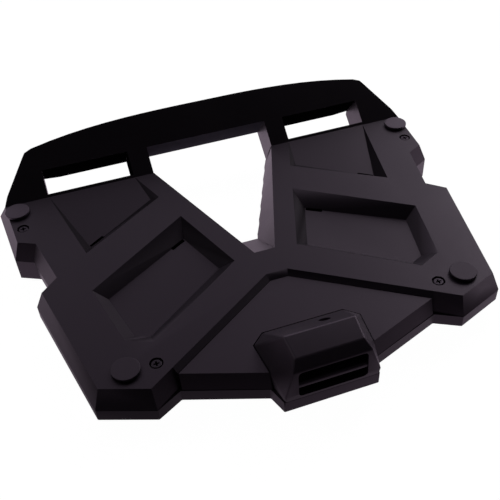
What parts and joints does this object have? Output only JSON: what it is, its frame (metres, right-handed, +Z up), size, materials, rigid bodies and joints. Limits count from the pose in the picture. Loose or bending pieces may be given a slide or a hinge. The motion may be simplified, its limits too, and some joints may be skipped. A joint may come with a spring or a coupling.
{
  "type": "top case mounting plate",
  "caption": "Plastic plate that carries a luggage case behind a seat: two arms round a V opening, upswept front bar with slots, rear latch block, rubber pads.",
  "frame": {"origin": "under the middle of the plate's overall box, on the surface it stands on", "axes": "+X to one side, across the plate; +Y towards the upswept front bar; +Z up"},
  "size_m": [0.4248, 0.338, 0.077],
  "materials": {
    "tray_plastic": "fine moulded grain, black",
    "cover_plastic": "fine moulded grain, charcoal",
    "panel_plastic": "fine moulded grain, charcoal",
    "block_plastic": "fine moulded grain, charcoal",
    "pad_rubber": "matte rubber",
    "screw_steel": "black coated steel"
  },
  "bodies": {
    "root": {"base_tray": "tray_plastic", "top_cover": "cover_plastic", "rear_panel": "panel_plastic", "latch_block": "block_plastic", "pad_front_left": "pad_rubber", "cover_screw_front_left": "screw_steel", "pad_front_right": "pad_rubber", "cover_screw_front_right": "screw_steel", "pad_rear_left": "pad_rubber", "cover_screw_rear_left": "screw_steel", "pad_rear_right": "pad_rubber", "cover_screw_rear_right": "screw_steel", "panel_screw_left": "screw_steel", "panel_screw_right": "screw_steel", "latch_screw_left": "screw_steel", "latch_screw_right": "screw_steel"}
  },
  "joints": []
}
